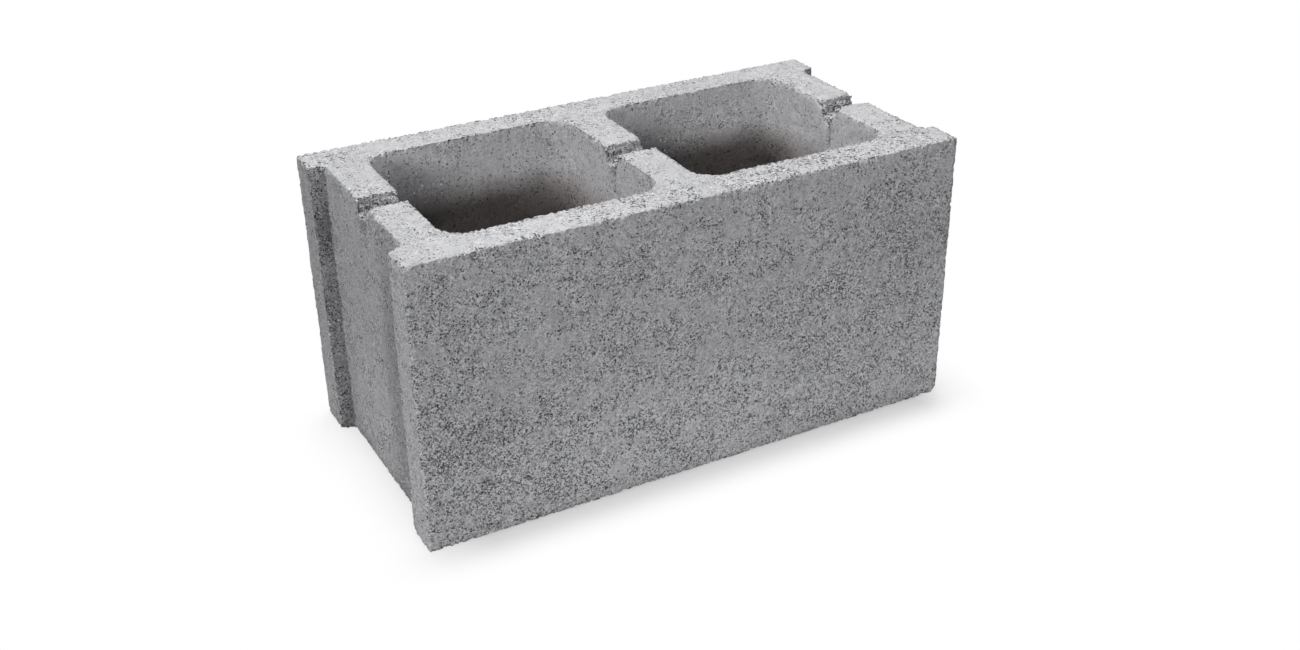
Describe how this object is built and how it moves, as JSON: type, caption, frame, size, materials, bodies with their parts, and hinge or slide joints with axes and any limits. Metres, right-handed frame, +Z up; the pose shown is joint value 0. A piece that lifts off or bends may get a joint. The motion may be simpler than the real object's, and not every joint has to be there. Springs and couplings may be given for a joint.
{
  "type": "concrete block",
  "caption": "Hollow concrete building block with open cores, ends recessed between ears, and a shallow groove across the webs at the top.",
  "frame": {"origin": "middle of the bottom face, which is also the middle of the underside of the middle web", "axes": "+X along the block's length, +Y from its front face to its back face, +Z up, towards the wider mouths of the cores"},
  "size_m": [0.4, 0.2, 0.2],
  "materials": {
    "concrete": "dry pressed concrete, open grained and matt, with small pits and slightly ragged edges"
  },
  "bodies": {
    "root": {"block": "concrete"}
  },
  "joints": []
}
